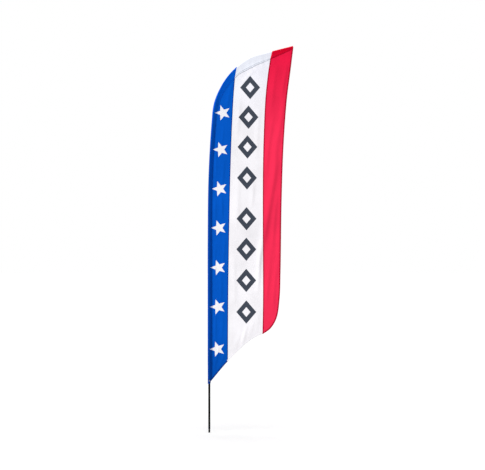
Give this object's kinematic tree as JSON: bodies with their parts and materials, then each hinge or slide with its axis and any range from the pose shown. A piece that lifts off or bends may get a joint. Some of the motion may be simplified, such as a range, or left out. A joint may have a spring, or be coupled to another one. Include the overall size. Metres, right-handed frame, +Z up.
{
  "type": "feather flag with pole",
  "caption": "Tall feather-shaped banner on a jointed pole: a springy top rod bends over in the banner's sleeve, and the pole turns on a bearing foot.",
  "frame": {"origin": "centre of the foot's lower end, on the pole's axis, at the mouth of its threaded hole", "axes": "+Z up along the pole, +X from the pole towards the flag's free edge, +Y away from the viewer of the flag's front"},
  "size_m": [0.893, 0.034, 4.0313],
  "materials": {
    "black_steel": "satin",
    "bearing_steel": "polished",
    "zinc_steel": "satin",
    "black_rubber": "matte",
    "black_aluminium": "satin",
    "bare_aluminium": "satin",
    "black_composite": "satin",
    "black_plastic": "matte",
    "nickel_eyelet": "polished",
    "printed_cloth": "satin",
    "blue_cloth": "satin",
    "red_cloth": "satin",
    "dark_red_cloth": "satin"
  },
  "bodies": {
    "foot": {"foot_spindle": "black_steel", "dust_washer": "black_rubber", "bearing_inner_rings": "bearing_steel", "inner_spacer": "bare_aluminium", "spindle_washer": "zinc_steel", "spindle_nut": "zinc_steel"},
    "ball_set": {"bearing_balls": "bearing_steel", "bearing_cages": "zinc_steel"},
    "lower_pole": {"bearing_outer_rings": "bearing_steel", "bearing_housing": "black_aluminium", "housing_rivets": "black_aluminium", "section_1_tube": "black_composite", "section_1_collar": "black_aluminium"},
    "middle_pole": {"section_2_spigot": "bare_aluminium", "section_2_rivets": "black_aluminium", "section_2_tube": "black_composite", "section_2_collar": "black_aluminium"},
    "upper_pole": {"section_3_spigot": "bare_aluminium", "section_3_rivets": "black_aluminium", "section_3_tube": "black_composite", "whip_ferrule": "black_aluminium", "whip_rod": "black_composite", "whip_tip_cap": "black_plastic", "flag_panel": "printed_cloth", "pole_sleeve": "blue_cloth", "tip_pocket": "dark_red_cloth", "fly_hem": "red_cloth", "lower_hem": "blue_cloth", "sleeve_cuff": "blue_cloth", "cuff_eyelets": "nickel_eyelet"}
  },
  "joints": [
    {"name": "pole_swivel", "type": "hinge", "parent": "foot", "child": "lower_pole", "pos_m": [0, 0, 0], "axis": [0, 0, 1], "continuous": true},
    {"name": "ball_orbit", "type": "hinge", "parent": "foot", "child": "ball_set", "pos_m": [0, 0, 0], "axis": [0, 0, 1], "continuous": true},
    {"name": "middle_pole_pull", "type": "slide", "parent": "lower_pole", "child": "middle_pole", "axis": [0, 0, 1], "range_m": [0, 0.115]},
    {"name": "upper_pole_pull", "type": "slide", "parent": "middle_pole", "child": "upper_pole", "axis": [0, 0, 1], "range_m": [0, 0.115]}
  ],
  "couplings": [
    {"joint": "ball_orbit", "follows": "pole_swivel", "ratio": 0.5992}
  ]
}
